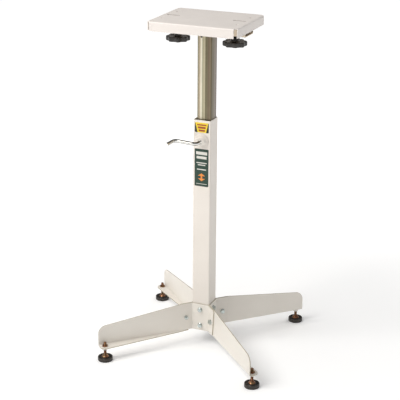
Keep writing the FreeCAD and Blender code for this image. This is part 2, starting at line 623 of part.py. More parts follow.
def make_bolt_pattern():
    """A hexagon flange bolt, seated at height 0 with its head up and its shank down."""
    body = start_body("flange_bolt")
    profile = start_sketch(body, "profile", "XZ_Plane")
    hex_half = "Sizes.small_nut_flats / 2"
    corners = [("0", "-Sizes.bolt_length"),
               ("Sizes.bolt_radius - Sizes.bolt_flange_edge", "-Sizes.bolt_length"),
               ("Sizes.bolt_radius", "-Sizes.bolt_length + Sizes.bolt_flange_edge"),
               ("Sizes.bolt_radius", "0"),
               ("Sizes.bolt_flange_radius", "0"), ("Sizes.bolt_flange_radius", "Sizes.bolt_flange_edge"),
               (hex_half, "Sizes.bolt_flange_height"), ("0", "Sizes.bolt_flange_height")]
    draw_outline(profile, corners)
    turned(body, profile)
    hexagon = start_sketch(body, "hexagon", "XY_Plane", "Sizes.bolt_flange_edge")
    draw_hexagon(hexagon, "Sizes.small_nut_flats")
    pad(body, hexagon, "Sizes.bolt_head_height - Sizes.bolt_flange_edge")
    cut_hex_corners(body, "Sizes.small_nut_flats", "Sizes.bolt_head_height")
    return body


def make_nut_pattern(name, flats, height, thread_radius):
    """A hexagon nut standing on height 0."""
    body = start_body(name)
    section = start_sketch(body, "section", "XY_Plane")
    draw_hexagon(section, flats)
    draw_circle(section, "0", "0", f"{thread_radius} + Sizes.running_fit")
    pad(body, section, height)
    cut_hex_corners(body, flats, height)
    return body


def make_small_fasteners():
    """The M8 bolts and nuts that hold the legs to the tube and to each other."""
    bolt = make_bolt_pattern()
    nut = make_nut_pattern("small_nut", "Sizes.small_nut_flats", "Sizes.small_nut_height",
                           "Sizes.bolt_radius")
    tube_places = [(turn, height) for turn in CORNER_TURNS.values()
                   for height in ("Sizes.tube_bolt_high", "Sizes.tube_bolt_low")]
    plate_face = "-(Sizes.tube_side / 2 + Sizes.leg_sheet)"
    inner_wall = "-(Sizes.tube_side / 2 - Sizes.tube_wall)"
    flange_face = "-(Sizes.leg_gap + Sizes.leg_sheet)"
    web_face = "Sizes.leg_gap + Sizes.leg_sheet"
    leg_places = [{"turn": FIRST_DIAGONAL + turn, "x": "Sizes.leg_bolt_reach", "z": "Sizes.leg_bolt_height"}
                  for turn in CORNER_TURNS.values()]
    return [
        group("tube_bolts", bolt, [{"turn": turn, "y": plate_face, "z": height, "facing": FACING_FRONT}
                                   for turn, height in tube_places]),
        group("tube_weld_nuts", nut, [{"turn": turn, "y": inner_wall, "z": height, "facing": FACING_BACK}
                                      for turn, height in tube_places]),
        group("leg_bolts", bolt, [{**place, "y": flange_face, "facing": FACING_FRONT}
                                  for place in leg_places]),
        group("leg_bolt_nuts", nut, [{**place, "y": web_face, "facing": FACING_BACK}
                                     for place in leg_places]),
    ]


def make_big_nuts():
    """The M10 nuts: a thin one above and one under each leg's foot tab, and two on the channel's floor."""
    nut = make_nut_pattern("big_nut", "Sizes.big_nut_flats", "Sizes.big_nut_height", "Sizes.stud_radius")
    jam_nut = make_nut_pattern("jam_nut", "Sizes.big_nut_flats", "Sizes.jam_nut_height", "Sizes.stud_radius")
    foot_places = [{"turn": FIRST_DIAGONAL + turn, "x": "Sizes.foot_reach", "y": "Sizes.foot_offset"}
                   for turn in CORNER_TURNS.values()]
    tab_top = "Sizes.leg_bottom + Sizes.leg_sheet"
    under_tab = "Sizes.leg_bottom - Sizes.big_nut_height"
    channel_floor_top = "Sizes.channel_floor + Sizes.channel_sheet"
    return [
        group("foot_lock_nuts", jam_nut, [{**place, "z": tab_top} for place in foot_places]),
        group("foot_weld_nuts", nut, [{**place, "z": under_tab} for place in foot_places]),
        group("clamp_weld_nuts", nut, [{"x": f"{sign} * Sizes.knob_spacing / 2", "z": channel_floor_top}
                                       for sign in SIDE_SIGNS.values()]),
    ]


def make_label(name, bottom, height):
    body = start_body(name)
    outline = start_sketch(body, "outline", "XZ_Plane", "Sizes.tube_side / 2")
    half = "Sizes.label_width / 2"
    draw_rectangle(outline, f"-{half}", half, bottom, f"{bottom} + {height}", "Sizes.label_round")
    pad(body, outline, "Sizes.label_thickness")
    return body


# ---------------------------------------------------------------- the whole stand

def make_stand():
    tube_face = "Sizes.tube_side / 2"
    parts = [make_outer_tube(), make_inner_column(), make_head_channel(), make_top_pan(), make_lock_screw()]
    parts.append(make_lock_ring("boss_plate", "Sizes.lock_plate_radius", "Sizes.lock_plate_radius",
                                "Sizes.lock_hole_radius", tube_face, "Sizes.lock_plate_thickness"))
    parts.append(make_lock_ring("lock_boss", "Sizes.lock_boss_base", "Sizes.lock_boss_front",
                                "Sizes.lock_rod_radius + Sizes.running_fit",
                                f"{tube_face} + Sizes.lock_plate_thickness", "Sizes.lock_boss_length"))
    parts.append(make_label("label_upper", "Sizes.upper_label_bottom", "Sizes.upper_label_height"))
    parts.append(make_label("label_lower", "Sizes.lower_label_bottom", "Sizes.lower_label_height"))
    for side in SIDE_SIGNS:
        parts += [make_knob(side), make_knob_stud(side), make_clamp_washer(side)]
    for corner in CORNER_TURNS:
        parts += [make_leg(corner), make_foot_pad(corner), make_foot_stud(corner)]
    parts += make_small_fasteners()
    parts += make_big_nuts()
    doc.recompute()
    return parts


def check_document(parts):
    """Stop if any object failed to compute, or any sub-part has no valid solid."""
    for item in doc.Objects:
        if "Invalid" in item.State or "Error" in item.State:
            raise RuntimeError(f"{item.Name} did not compute: {item.State}")
    for part in parts:
        if part.Shape.isNull() or not part.Shape.isValid() or not part.Shape.Solids:
            raise RuntimeError(f"{part.Label} has no valid solid")


def write_parts(parts):
    os.makedirs("parts", exist_ok=True)
    for part in parts:
        part.Shape.exportStep(f"parts/{part.Label}.step")
        print(f"{part.Label}: {len(part.Shape.Solids)} solid(s), {part.Shape.Volume:.0f} mm3")


stand_parts = make_stand()
check_document(stand_parts)
write_parts(stand_parts)
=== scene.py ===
import json
import math

import bmesh
import bpy
from mathutils import Matrix, Vector, noise


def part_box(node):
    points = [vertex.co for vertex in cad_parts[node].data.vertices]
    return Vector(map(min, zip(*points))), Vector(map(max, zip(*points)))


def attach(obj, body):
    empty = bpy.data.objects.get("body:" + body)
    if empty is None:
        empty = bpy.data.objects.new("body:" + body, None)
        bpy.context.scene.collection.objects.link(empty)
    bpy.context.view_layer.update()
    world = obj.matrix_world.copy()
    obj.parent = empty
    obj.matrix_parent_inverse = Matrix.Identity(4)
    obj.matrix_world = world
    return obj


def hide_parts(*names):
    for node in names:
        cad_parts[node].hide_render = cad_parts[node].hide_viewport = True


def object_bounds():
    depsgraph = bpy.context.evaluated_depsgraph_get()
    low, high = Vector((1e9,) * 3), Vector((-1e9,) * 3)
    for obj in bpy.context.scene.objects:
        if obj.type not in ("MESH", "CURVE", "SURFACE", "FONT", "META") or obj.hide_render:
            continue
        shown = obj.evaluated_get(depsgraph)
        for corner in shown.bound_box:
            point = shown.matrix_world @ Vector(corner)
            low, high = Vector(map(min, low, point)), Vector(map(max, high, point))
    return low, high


# Looks of the height-adjustable pedestal stand. Everything is in metres, in the frame of the CAD model.

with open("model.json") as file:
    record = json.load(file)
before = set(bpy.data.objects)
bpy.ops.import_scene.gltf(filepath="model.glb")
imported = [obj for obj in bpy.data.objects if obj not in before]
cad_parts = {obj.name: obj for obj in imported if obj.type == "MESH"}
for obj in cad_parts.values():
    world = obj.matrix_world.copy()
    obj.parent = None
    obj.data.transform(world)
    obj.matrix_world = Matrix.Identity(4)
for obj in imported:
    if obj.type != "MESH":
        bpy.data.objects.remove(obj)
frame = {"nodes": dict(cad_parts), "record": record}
cad_low, cad_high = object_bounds()

MM = 0.001
TURN = 2 * math.pi
UP = Vector((0, 0, 1))

# The pitch of the knobs' and feet's threads, and the length of a weld's ripple.
STUD_PITCH = 1.5 * MM
WELD_RIPPLE = 0.9 * MM

CORNERS = ("front_left", "front_right", "back_right", "back_left")
SIDES = ("left", "right")

record = frame["record"]
body_of_node = {node: body for body, nodes in record["behaviour"]["bodies"].items() for node in nodes}
slot_of_node = {row["node"]: row["material_slot"] for row in record["subparts"]}

# The camera stands this far round from the front, towards the right.
VIEW_AZIMUTH = math.radians(22.4)
VIEW_ELEVATION = math.radians(20.14)


# ---------------------------------------------------------------- materials

class Finish:
    """One material's node tree, with short ways to add the nodes that the finishes below share."""

    # Where a mix node keeps its colours among its sockets.
    FIRST_COLOUR = 6
    SECOND_COLOUR = 7
    MIXED_COLOUR = 2

    def __init__(self, name, **constants):
        self.material = bpy.data.materials.new(name)
        self.material.use_nodes = True
        self.tree = self.material.node_tree
        self.shader = self.tree.nodes["Principled BSDF"]
        for socket, value in constants.items():
            self.shader.inputs[socket.replace("_", " ")].default_value = value

    def add(self, kind, inputs=None, **settings):
        node = self.tree.nodes.new(f"ShaderNode{kind}")
        for key, value in settings.items():
            setattr(node, key, value)
        for key, value in (inputs or {}).items():
            self.feed(value, node.inputs[key])
        return node

    def feed(self, value, socket):
        if isinstance(value, bpy.types.NodeSocket):
            self.tree.links.new(value, socket)
        else:
            socket.default_value = value

    def coordinates(self, stretch=(1, 1, 1)):
        """Places on the object in metres, stretched along the axes."""
        source = self.add("TexCoord").outputs["Object"]
        return self.add("Mapping", {"Vector": source, "Scale": stretch}).outputs["Vector"]

    def noise(self, per_metre, stretch=(1, 1, 1), detail=3.0, roughness=0.5):
        inputs = {"Vector": self.coordinates(stretch), "Scale": per_metre, "Detail": detail,
                  "Roughness": roughness}
        return self.add("TexNoise", inputs).outputs["Fac"]

    def cells(self, per_metre, stretch=(1, 1, 1)):
        inputs = {"Vector": self.coordinates(stretch), "Scale": per_metre}
        return self.add("TexVoronoi", inputs).outputs["Distance"]

    def along(self, direction):
        """How far each place on the object lies along a fixed direction."""
        node = self.add("VectorMath", {0: self.coordinates(), 1: direction}, operation="DOT_PRODUCT")
        return node.outputs["Value"]

    def facing_up(self):
        """1 where the surface faces up, 0 where it is upright and -1 where it faces down."""
        normal = self.add("NewGeometry").outputs["Normal"]
        return self.add("SeparateXYZ", {"Vector": normal}).outputs["Z"]

    def maths(self, operation, *values):
        node = self.add("Math", operation=operation)
        for index, value in enumerate(values):
            self.feed(value, node.inputs[index])
        return node.outputs[0]

    def spread(self, value, low, high, to_low=0.0, to_high=1.0):
        """The value stretched from one range to another, and held at its ends."""
        inputs = {"Value": value, "From Min": low, "From Max": high, "To Min": to_low, "To Max": to_high}
        return self.add("MapRange", inputs).outputs["Result"]

    def blend(self, share, first, second, kind="MIX"):
        """A mix of two colours."""
        node = self.add("Mix", data_type="RGBA", blend_type=kind)
        self.feed(share, node.inputs["Factor"])
        for index, colour in ((self.FIRST_COLOUR, first), (self.SECOND_COLOUR, second)):
            if not isinstance(colour, bpy.types.NodeSocket):
                colour = (*colour, 1)
            self.feed(colour, node.inputs[index])
        return node.outputs[self.MIXED_COLOUR]

    def ramp(self, value, stops):
        """A colour from a value, by (place, colour) stops."""
        node = self.add("ValToRGB", {"Fac": value})
        band = node.color_ramp
        while len(band.elements) < len(stops):
            band.elements.new(1.0)
        for element, (place, colour) in zip(band.elements, stops):
            element.position = place
            element.color = (*colour, 1)
        return node.outputs["Color"]

    def bump(self, height, depth, strength=1.0, under=None):
        node = self.add("Bump", {"Height": height, "Distance": depth, "Strength": strength})
        if under:
            self.feed(under, node.inputs["Normal"])
        return node.outputs["Normal"]

    def crevices(self, reach):
        """1 on open surface and less in corners, within the given reach."""
        return self.add("AmbientOcclusion", {"Distance": reach}, samples=6).outputs["AO"]

    def wear(self, colour=None, roughness=None, normal=None, metal=None):
        """Join the finished colour, roughness, normal and metal share to the shader."""
        for value, socket in ((colour, "Base Color"), (roughness, "Roughness"), (normal, "Normal"),
                              (metal, "Metallic")):
            if value is not None:
                self.feed(value, self.shader.inputs[socket])
        return self.material


def tint(red, green, blue):
    """A colour from its display values of 0 to 255."""
    return tuple((level / 255) ** 2.2 for level in (red, green, blue))


def powder_coat(name, colour, shade):
    """Satin powder coat: orange peel, faint clouds, a few dust specks, and grime with painted shade in the
    corners.
    """
    finish = Finish(name, Coat_Weight=0.12, Coat_Roughness=0.25, Specular_IOR_Level=0.45)
    clouds = finish.spread(finish.noise(7, detail=4), 0.35, 0.65)
    painted = finish.blend(clouds, colour, shade)
    specks = finish.spread(finish.noise(900, detail=1), 0.70, 0.76, 0.0, 0.35)
    painted = finish.blend(specks, painted, [0.62 * part for part in colour])
    # Grime and painted shade: the coat is darker in corners and crevices, broken up by smudges.
    grime_and_painted_shade = finish.spread(finish.crevices(0.008), 0.35, 0.95, 0.16, 0.0)
    smudged_grime_and_shade = finish.maths("MULTIPLY", grime_and_painted_shade, finish.spread(finish.noise(60, detail=5), 0.3, 0.7, 0.4, 1.0))
    painted = finish.blend(smudged_grime_and_shade, painted, (0.30, 0.26, 0.20))
    peel = finish.bump(finish.noise(420, detail=2), 0.00022, 0.35)
    grain = finish.bump(finish.noise(2600, detail=2), 0.00004, 0.5, peel)
    sheen = finish.spread(finish.noise(24, detail=5), 0.3, 0.7, 0.36, 0.50)
    return finish.wear(painted, sheen, grain)


def drawn_steel():
    """Bare drawn tube: painted reflections and shade in light and dark bands laid across the camera's view,
    streaks, faint stains and painted shade near other parts.
    """
    finish = Finish("drawn_steel", Metallic=1.0, Specular_IOR_Level=0.5)
    low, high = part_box("inner_column")
    across = Vector((math.cos(VIEW_AZIMUTH), math.sin(VIEW_AZIMUTH), 0))
    place = finish.spread(finish.along(across), across.dot(low), across.dot(high))
    # Painted reflections and shade: light and dark stripes laid across the camera's view, standing in for
    # what the tube reflects.
    painted_reflection_bands = finish.ramp(place, [(0.00, tint(130, 130, 110)), (0.06, tint(150, 145, 124)),
                                (0.10, tint(182, 168, 147)), (0.155, tint(188, 175, 153)),
                                (0.18, tint(235, 228, 207)), (0.245, tint(230, 224, 203)),
                                (0.27, tint(165, 160, 135)), (0.35, tint(190, 182, 156)),
                                (0.395, tint(186, 178, 152)), (0.415, tint(114, 108, 88)),
                                (0.50, tint(121, 115, 95)), (0.57, tint(124, 109, 94)),
                                (0.65, tint(134, 122, 103)), (0.72, tint(108, 102, 84)),
                                (0.76, tint(108, 101, 84)), (0.83, tint(116, 108, 93)),
                                (0.87, tint(134, 126, 117)), (0.93, tint(130, 122, 114)),
                                (0.96, tint(106, 100, 95)), (1.00, tint(90, 85, 81))])
    streaks = finish.spread(finish.noise(260, (1, 1, 0.010), detail=6), 0.3, 0.7)
    streaked = finish.ramp(streaks, [(0.0, (0.66, 0.65, 0.62)), (1.0, (1.0, 0.99, 0.96))])
    steel = finish.blend(0.40, painted_reflection_bands, streaked, "MULTIPLY")
    stains = finish.spread(finish.noise(16, (1, 1, 0.35), detail=6, roughness=0.6), 0.50, 0.74, 0.0, 0.25)
    steel = finish.blend(stains, steel, (0.24, 0.21, 0.15))
    # Painted shade: the steel is darker where other parts are near, as inside the outer tube.
    painted_shade_near_parts = finish.spread(finish.crevices(0.06), 0.3, 1.0, 0.45, 0.0)
    steel = finish.blend(painted_shade_near_parts, steel, (0.20, 0.17, 0.11))
    scratches = finish.bump(finish.noise(1500, (1, 1, 0.004), detail=3), 0.00003, 0.6)
    rub = finish.spread(finish.noise(90, (1, 1, 0.02), detail=5), 0.3, 0.7, 0.34, 0.52)
    return finish.wear(steel, rub, scratches)


def sheet_steel():
    """Hot-rolled sheet, oiled: brown-grey with mill scale and a dull shine."""
    finish = Finish("sheet_steel", Metallic=1.0)
    scale = finish.spread(finish.noise(45, detail=7, roughness=0.65), 0.35, 0.65)
    steel = finish.blend(scale, (0.66, 0.57, 0.45), (0.44, 0.37, 0.28))
    blooms = finish.spread(finish.noise(11, detail=3), 0.55, 0.75, 0.0, 0.4)
    steel = finish.blend(blooms, steel, (0.38, 0.28, 0.19))
    rolled = finish.bump(finish.noise(700, (0.12, 1, 1), detail=3), 0.00005, 0.5)
    return finish.wear(steel, finish.spread(scale, 0, 1, 0.36, 0.56), rolled)


def zinc_plate():
    """Bright zinc: cool grey, with a fine spangle and handling marks."""
    finish = Finish("zinc_plate", Metallic=1.0)
    spangle = finish.spread(finish.cells(900), 0.1, 0.7)
    zinc = finish.blend(spangle, (0.66, 0.72, 0.71), (0.46, 0.52, 0.52))
    dull = finish.spread(finish.noise(180, detail=5), 0.4, 0.7)
    zinc = finish.blend(dull, zinc, (0.52, 0.54, 0.49))
    return finish.wear(zinc, finish.spread(dull, 0, 1, 0.22, 0.42),
                       finish.bump(finish.noise(1800, detail=2), 0.00003, 0.4))


def yellow_zinc():
    """Yellow chromate plating: copper and straw tints that shift from place to place."""
    finish = Finish("yellow_zinc", Metallic=1.0)
    cast = finish.noise(75, detail=4, roughness=0.6)
    zinc = finish.ramp(cast, [(0.30, (0.150, 0.066, 0.036)), (0.45, (0.250, 0.112, 0.062)),
                              (0.56, (0.280, 0.152, 0.082)), (0.68, (0.185, 0.140, 0.070)),
                              (0.80, (0.240, 0.115, 0.080))])
    worn = finish.spread(finish.noise(420, detail=5), 0.55, 0.75, 0.0, 0.45)
    zinc = finish.blend(worn, zinc, (0.11, 0.080, 0.055))
    return finish.wear(zinc, finish.spread(cast, 0.3, 0.7, 0.24, 0.40),
                       finish.bump(finish.noise(1600, detail=2), 0.00003, 0.4))


def black_oxide():
    """Black oxide steel: near black, oiled, with greyer rubbed patches."""
    finish = Finish("black_oxide", Metallic=0.9)
    rubbed = finish.spread(finish.noise(240, detail=5), 0.5, 0.75)
    steel = finish.blend(rubbed, (0.040, 0.037, 0.034), (0.14, 0.13, 0.12))
    return finish.wear(steel, finish.spread(rubbed, 0, 1, 0.34, 0.5),
                       finish.bump(finish.noise(1500, detail=3), 0.00004, 0.5))


def polished_chrome():
    """Chrome plate: bright, with a painted reflection that is darker where it faces straight up or down,
    faint haze and polish marks.
    """
    finish = Finish("polished_chrome", Metallic=1.0)
    haze = finish.spread(finish.noise(60, detail=5), 0.4, 0.7)
    plate = finish.blend(haze, (0.90, 0.90, 0.88), (0.76, 0.75, 0.71))
    # Painted reflection: bands of light and dark by which way the surface faces, brightest where it is
    # upright.
    height = finish.spread(finish.facing_up(), -1, 1)
    painted_reflection_bands = finish.ramp(height, [(0.00, (0.12, 0.115, 0.105)), (0.20, (0.28, 0.27, 0.25)),
                                 (0.36, (0.78, 0.78, 0.76)), (0.50, (1.0, 1.0, 1.0)),
                                 (0.70, (0.95, 0.95, 0.93)), (0.80, (0.28, 0.27, 0.25)),
                                 (0.90, (0.10, 0.095, 0.085)), (1.00, (0.14, 0.135, 0.125))])
    plate = finish.blend(1.0, plate, painted_reflection_bands, "MULTIPLY")
    return finish.wear(plate, finish.spread(haze, 0, 1, 0.12, 0.22),
                       finish.bump(finish.noise(900, detail=2), 0.00002, 0.25))


def moulded_black(name, colour, gloss, grain_depth):
    """Moulded black plastic: fine grain, soft flow marks and paler rubbed high spots."""
    finish = Finish(name, Specular_IOR_Level=0.5)
    flow = finish.spread(finish.noise(38, detail=6, roughness=0.6), 0.35, 0.7)
    plastic = finish.blend(flow, colour, [1.9 * part for part in colour])
    dust = finish.spread(finish.noise(700, detail=3), 0.62, 0.74, 0.0, 0.30)
    plastic = finish.blend(dust, plastic, (0.17, 0.145, 0.125))
    grain = finish.bump(finish.noise(2200, detail=3), grain_depth, 0.6)
    swell = finish.bump(finish.noise(120, detail=2), 0.0002, 0.25, grain)
    return finish.wear(plastic, finish.spread(flow, 0, 1, gloss, gloss + 0.16), swell)


def within(finish, value, low, high, soft=0.0002):
    """1 where the value is between two limits, 0 outside, with a soft edge."""
    above = finish.spread(value, low - soft, low + soft)
    below = finish.spread(value, high - soft, high + soft, 1.0, 0.0)
    return finish.maths("MULTIPLY", above, below)


def film(name, node):
    """A printed film's own finish and its across and up coordinates, 0 to 1 over the label."""
    finish = Finish(name, Coat_Weight=0.12, Coat_Roughness=0.2, Specular_IOR_Level=0.3)
    place = finish.add("SeparateXYZ", {"Vector": finish.coordinates()})
    low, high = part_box(node)
    across = finish.spread(place.outputs["X"], low.x, high.x)
    up = finish.spread(place.outputs["Z"], low.z, high.z)
    return finish, across, up


def print_film(finish, colour):
    """Join a printed colour to the film, with the ink's faint mottle and the film's ripples."""
    mottle = finish.spread(finish.noise(520, detail=4), 0.3, 0.7, 0.0, 0.05)
    colour = finish.blend(mottle, colour, (0.30, 0.31, 0.28))
    ripple = finish.bump(finish.noise(55, detail=2), 0.0002, 0.3)
    return finish.wear(colour, finish.spread(finish.noise(90, detail=4), 0.3, 0.7, 0.26, 0.40), ripple)


DARK_GREEN = (0.012, 0.045, 0.028)
INK_BLACK = (0.012, 0.016, 0.014)
LABEL_YELLOW = (0.82, 0.60, 0.03)
LABEL_RED = (0.33, 0.055, 0.02)
LABEL_WHITE = (0.74, 0.72, 0.66)
LABEL_AMBER = (0.80, 0.26, 0.04)


def upper_label():
    """A dark ground with a yellow shape that narrows downwards, and three plain red stripes in it."""
    finish, across, up = film("upper_label_film", "label_upper")
    from_middle = finish.maths("ABSOLUTE", finish.maths("SUBTRACT", across, 0.5))
    half_width = finish.spread(up, 0.0, 1.0, 0.30, 0.47)
    inside = finish.spread(finish.maths("SUBTRACT", half_width, from_middle), -0.004, 0.004)
    colour = finish.blend(inside, INK_BLACK, LABEL_YELLOW)
    for low, high, half in ((0.70, 0.84, 0.33), (0.40, 0.60, 0.28), (0.12, 0.30, 0.22)):
        stripe = finish.maths("MULTIPLY", within(finish, up, low, high, 0.012),
                              finish.spread(from_middle, half - 0.006, half + 0.006, 1.0, 0.0))
        colour = finish.blend(stripe, colour, LABEL_RED)
    return print_film(finish, colour)


def lower_label():
    """A dark green ground with plain pale stripes and an amber double arrow for height."""
    finish, across, up = film("lower_label_film", "label_lower")
    from_middle = finish.maths("ABSOLUTE", finish.maths("SUBTRACT", across, 0.5))
    between_sides = within(finish, across, 0.035, 0.965, 0.006)
    between_ends = within(finish, up, 0.013, 0.987, 0.003)
    border = finish.maths("MULTIPLY", between_sides, between_ends)
    colour = finish.blend(border, INK_BLACK, DARK_GREEN)
    stripes = ((0.845, 0.925, 0.40), (0.735, 0.805, 0.36), (0.615, 0.640, 0.37), (0.560, 0.585, 0.27),
               (0.440, 0.465, 0.33), (0.060, 0.072, 0.38))
    for low, high, half in stripes:
        stripe = finish.maths("MULTIPLY", within(finish, up, low, high, 0.003),
                              finish.spread(from_middle, half - 0.008, half + 0.008, 1.0, 0.0))
        colour = finish.blend(stripe, colour, LABEL_WHITE)
    arrow_middle, head, shaft = 0.245, 0.105, 0.055
    from_arrow = finish.maths("ABSOLUTE", finish.maths("SUBTRACT", up, arrow_middle))
    slope = finish.spread(from_arrow, 0.035, head, 0.26, 0.0)
    heads = finish.maths("MULTIPLY", within(finish, from_arrow, 0.035, head, 0.002),
                         finish.spread(finish.maths("SUBTRACT", slope, from_middle), -0.006, 0.006))
    bar = finish.maths("MULTIPLY", finish.spread(from_arrow, 0.036, 0.040, 1.0, 0.0),
                       finish.spread(from_middle, shaft - 0.006, shaft + 0.006, 1.0, 0.0))
    arrow = finish.maths("MAXIMUM", heads, bar)
    return print_film(finish, finish.blend(arrow, colour, LABEL_AMBER))


finishes = {
    "tube_paint": powder_coat("tube_powder_coat", (0.745, 0.690, 0.628), (0.775, 0.722, 0.660)),
    "leg_paint": powder_coat("leg_powder_coat", (0.760, 0.715, 0.650), (0.790, 0.748, 0.682)),
    "pan_paint": powder_coat("pan_powder_coat", (0.712, 0.660, 0.618), (0.740, 0.688, 0.646)),
    "column_steel": drawn_steel(),
    "bare_steel": sheet_steel(),
    "zinc_plate": zinc_plate(),
    "yellow_zinc": yellow_zinc(),
    "black_steel": black_oxide(),
    "chrome": polished_chrome(),
    "black_plastic": moulded_black("knob_plastic", (0.017, 0.0145, 0.0125), 0.26, 0.00003),
    "pad_plastic": moulded_black("pad_plastic", (0.020, 0.0155, 0.012), 0.36, 0.00005),
}
label_finishes = {"label_upper": upper_label(), "label_lower": lower_label()}
# Sheet cut edges on the legs: a thinner, darker coat, and painted shade that draws a dark line along them.
cut_edge_coat_and_shade = powder_coat("cut_edge_coat_and_painted_shade", (0.40, 0.36, 0.27), (0.46, 0.42, 0.32))


# ---------------------------------------------------------------- pieces

def finish_mesh(mesh, material, sharp_angle):
    """Give a mesh its material, and smooth shading up to an angle in degrees between faces."""
    mesh.materials.append(material)
    mesh.shade_smooth()
    mesh.set_sharp_from_angle(angle=math.radians(sharp_angle))


def add_piece(name, mesh, body, slot, *nodes):
    """Put a mesh in the scene as a piece that rides on a body and may stand for CAD nodes."""
    piece = bpy.data.objects.new(name, mesh)
    bpy.context.scene.collection.objects.link(piece)
    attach(piece, body)
    if nodes:
        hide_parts(*nodes)
    return piece


def from_bmesh(name, shell):
    """A mesh from a shell, with its faces turned outwards."""
    bmesh.ops.recalc_face_normals(shell, faces=shell.faces)
    mesh = bpy.data.meshes.new(name)
    shell.to_mesh(mesh)
    shell.free()
    return mesh


def crisp_copy(node, width, segments=2):
    """A CAD node's own shape with its flat faces joined up and its sharp edges slightly rounded."""
    shell = bmesh.new()
    shell.from_mesh(frame["nodes"][node].data)
    bmesh.ops.remove_doubles(shell, verts=shell.verts, dist=0.002 * MM)
    bmesh.ops.dissolve_limit(shell, angle_limit=math.radians(0.5), verts=shell.verts, edges=shell.edges)
    is_leg = node.startswith("leg_") and slot_of_node[node] == "leg_paint"
    for face in shell.faces:
        face.material_index = int(is_leg and is_cut_edge(face))
    mesh = from_bmesh(f"{node}_finished", shell)
    for spare in ("custom_normal", "sharp_edge", "sharp_face"):
        if spare in mesh.attributes:
            mesh.attributes.remove(mesh.attributes[spare])
    mesh.materials.append(label_finishes.get(node) or finishes[slot_of_node[node]])
    # The legs' cut edges take the darker coat with painted shade.
    if is_leg:
        mesh.materials.append(cut_edge_coat_and_shade)
    mesh.shade_smooth()
    piece = add_piece(f"{node}_finished", mesh, body_of_node[node], slot_of_node[node], node)
    rounding = piece.modifiers.new("edge_rounding", "BEVEL")
    rounding.limit_method = "ANGLE"
    rounding.angle_limit = math.radians(32)
    rounding.width = width
    rounding.segments = segments
    rounding.use_clamp_overlap = True
    shading = piece.modifiers.new("flat_faces", "WEIGHTED_NORMAL")
    shading.mode = "FACE_AREA"
    shading.weight = 90
    return piece


def is_cut_edge(face, widest=3.3 * MM, corner=math.radians(60), sharp_share=0.08):
    """Whether a face is a sheet's cut edge: narrow and met at sharp corners, as a bend's faces are not."""
    perimeter = sum(edge.calc_length() for edge in face.edges)
    sharp = sum(edge.calc_length() for edge in face.edges if edge.calc_face_angle(0) > corner)
    return 2 * face.calc_area() < widest * perimeter and sharp > sharp_share * perimeter


def axis_frame(origin, axis):
    """A matrix that takes a mesh built about +Z to an axis through a point."""
    turn = axis.to_track_quat("Z", "Y").to_matrix().to_4x4()
    return Matrix.Translation(origin) @ turn


def in_metres(profile):
    """A profile's (radius, height) points, which are given in millimetres."""
    return [(radius * MM, height * MM) for radius, height in profile]


def round_point(place, radius, angle, height=0):
    """A point about an axis that place takes to its position."""
    return place @ Vector((radius * math.cos(angle), radius * math.sin(angle), height))


def lathe(shell, profile, segments, place, radial=None):
    """Turn (radius, height) points about the vertical and close both ends. radial may change the radius."""
    rings = []
    for radius, height in profile:
        ring = []
        for step in range(segments):
            angle = TURN * step / segments
            grown = radial(radius, height, angle) if radial else radius
            ring.append(shell.verts.new(round_point(place, grown, angle, height)))
        rings.append(ring)
    join_rings(shell, rings)


def join_rings(shell, rings, closed=False):
    """Faces between rings of points, with the two end rings capped unless the rings close on themselves."""
    pairs = list(zip(rings, rings[1:]))
    if closed:
        pairs.append((rings[-1], rings[0]))
    for ring, following in pairs:
        for step in range(len(ring)):
            after = (step + 1) % len(ring)
            shell.faces.new((ring[step], ring[after], following[after], following[step]))
    if not closed:
        for ring in (rings[0], rings[-1]):
            shell.faces.new(ring)


def thread(shell, radius, pitch, start, end, place, segments=28):
    """A closed rod from start to end along the axis with a helical V thread, tapered at its far end."""
    depth = 0.55 * pitch
    lead_in = 0.8 * pitch
    rows_per_turn = 6
    rows = max(2, round((end - start) / pitch * rows_per_turn))
    rings = []
    for row in range(rows + 1):
        height = start + (end - start) * row / rows
        taper = max(0.0, 1 - (end - height) / lead_in) * depth
        ring = []
        for step in range(segments):
            angle = TURN * step / segments
            phase = (height / pitch - step / segments) % 1
            groove = min(1.0, max(0.0, abs(2 * phase - 1) * 1.5 - 0.25)) * depth
            size = radius - max(groove, taper)
            ring.append(shell.verts.new(round_point(place, size, angle, height)))
        rings.append(ring)
    join_rings(shell, rings)


def weld_bead(name, points, radius, body, slot, closed=True):
    """A hand-laid bead along a line of evenly spaced points, with the ripples of the weld pool."""
    shell = bmesh.new()
    rings = []
    count = len(points)
    around = 10
    for index, point in enumerate(points):
        ahead = points[(index + 1) % count] if closed or index < count - 1 else point
        behind = points[index - 1] if closed or index > 0 else point
        place = axis_frame(point, (ahead - behind).normalized())
        ripple = 1 + 0.13 * math.sin(index * 2.1) + 0.10 * noise.noise(point * 300)
        end_fade = 1.0 if closed else min(1.0, 0.35 + 0.3 * min(index, count - 1 - index))
        size = radius * ripple * end_fade
        turns = [TURN * step / around for step in range(around)]
        rings.append([shell.verts.new(round_point(place, size, angle)) for angle in turns])
    join_rings(shell, rings, closed)
    mesh = from_bmesh(name, shell)
    finish_mesh(mesh, finishes[slot], 80)
    return add_piece(name, mesh, body, slot)


def line_points(start, end):
    """Evenly spaced points from start to end, one for each ripple of a weld."""
    steps = max(3, round((end - start).length / WELD_RIPPLE))
    return [start.lerp(end, step / steps) for step in range(steps + 1)]


# ---------------------------------------------------------------- sheet metal, tubes and nuts

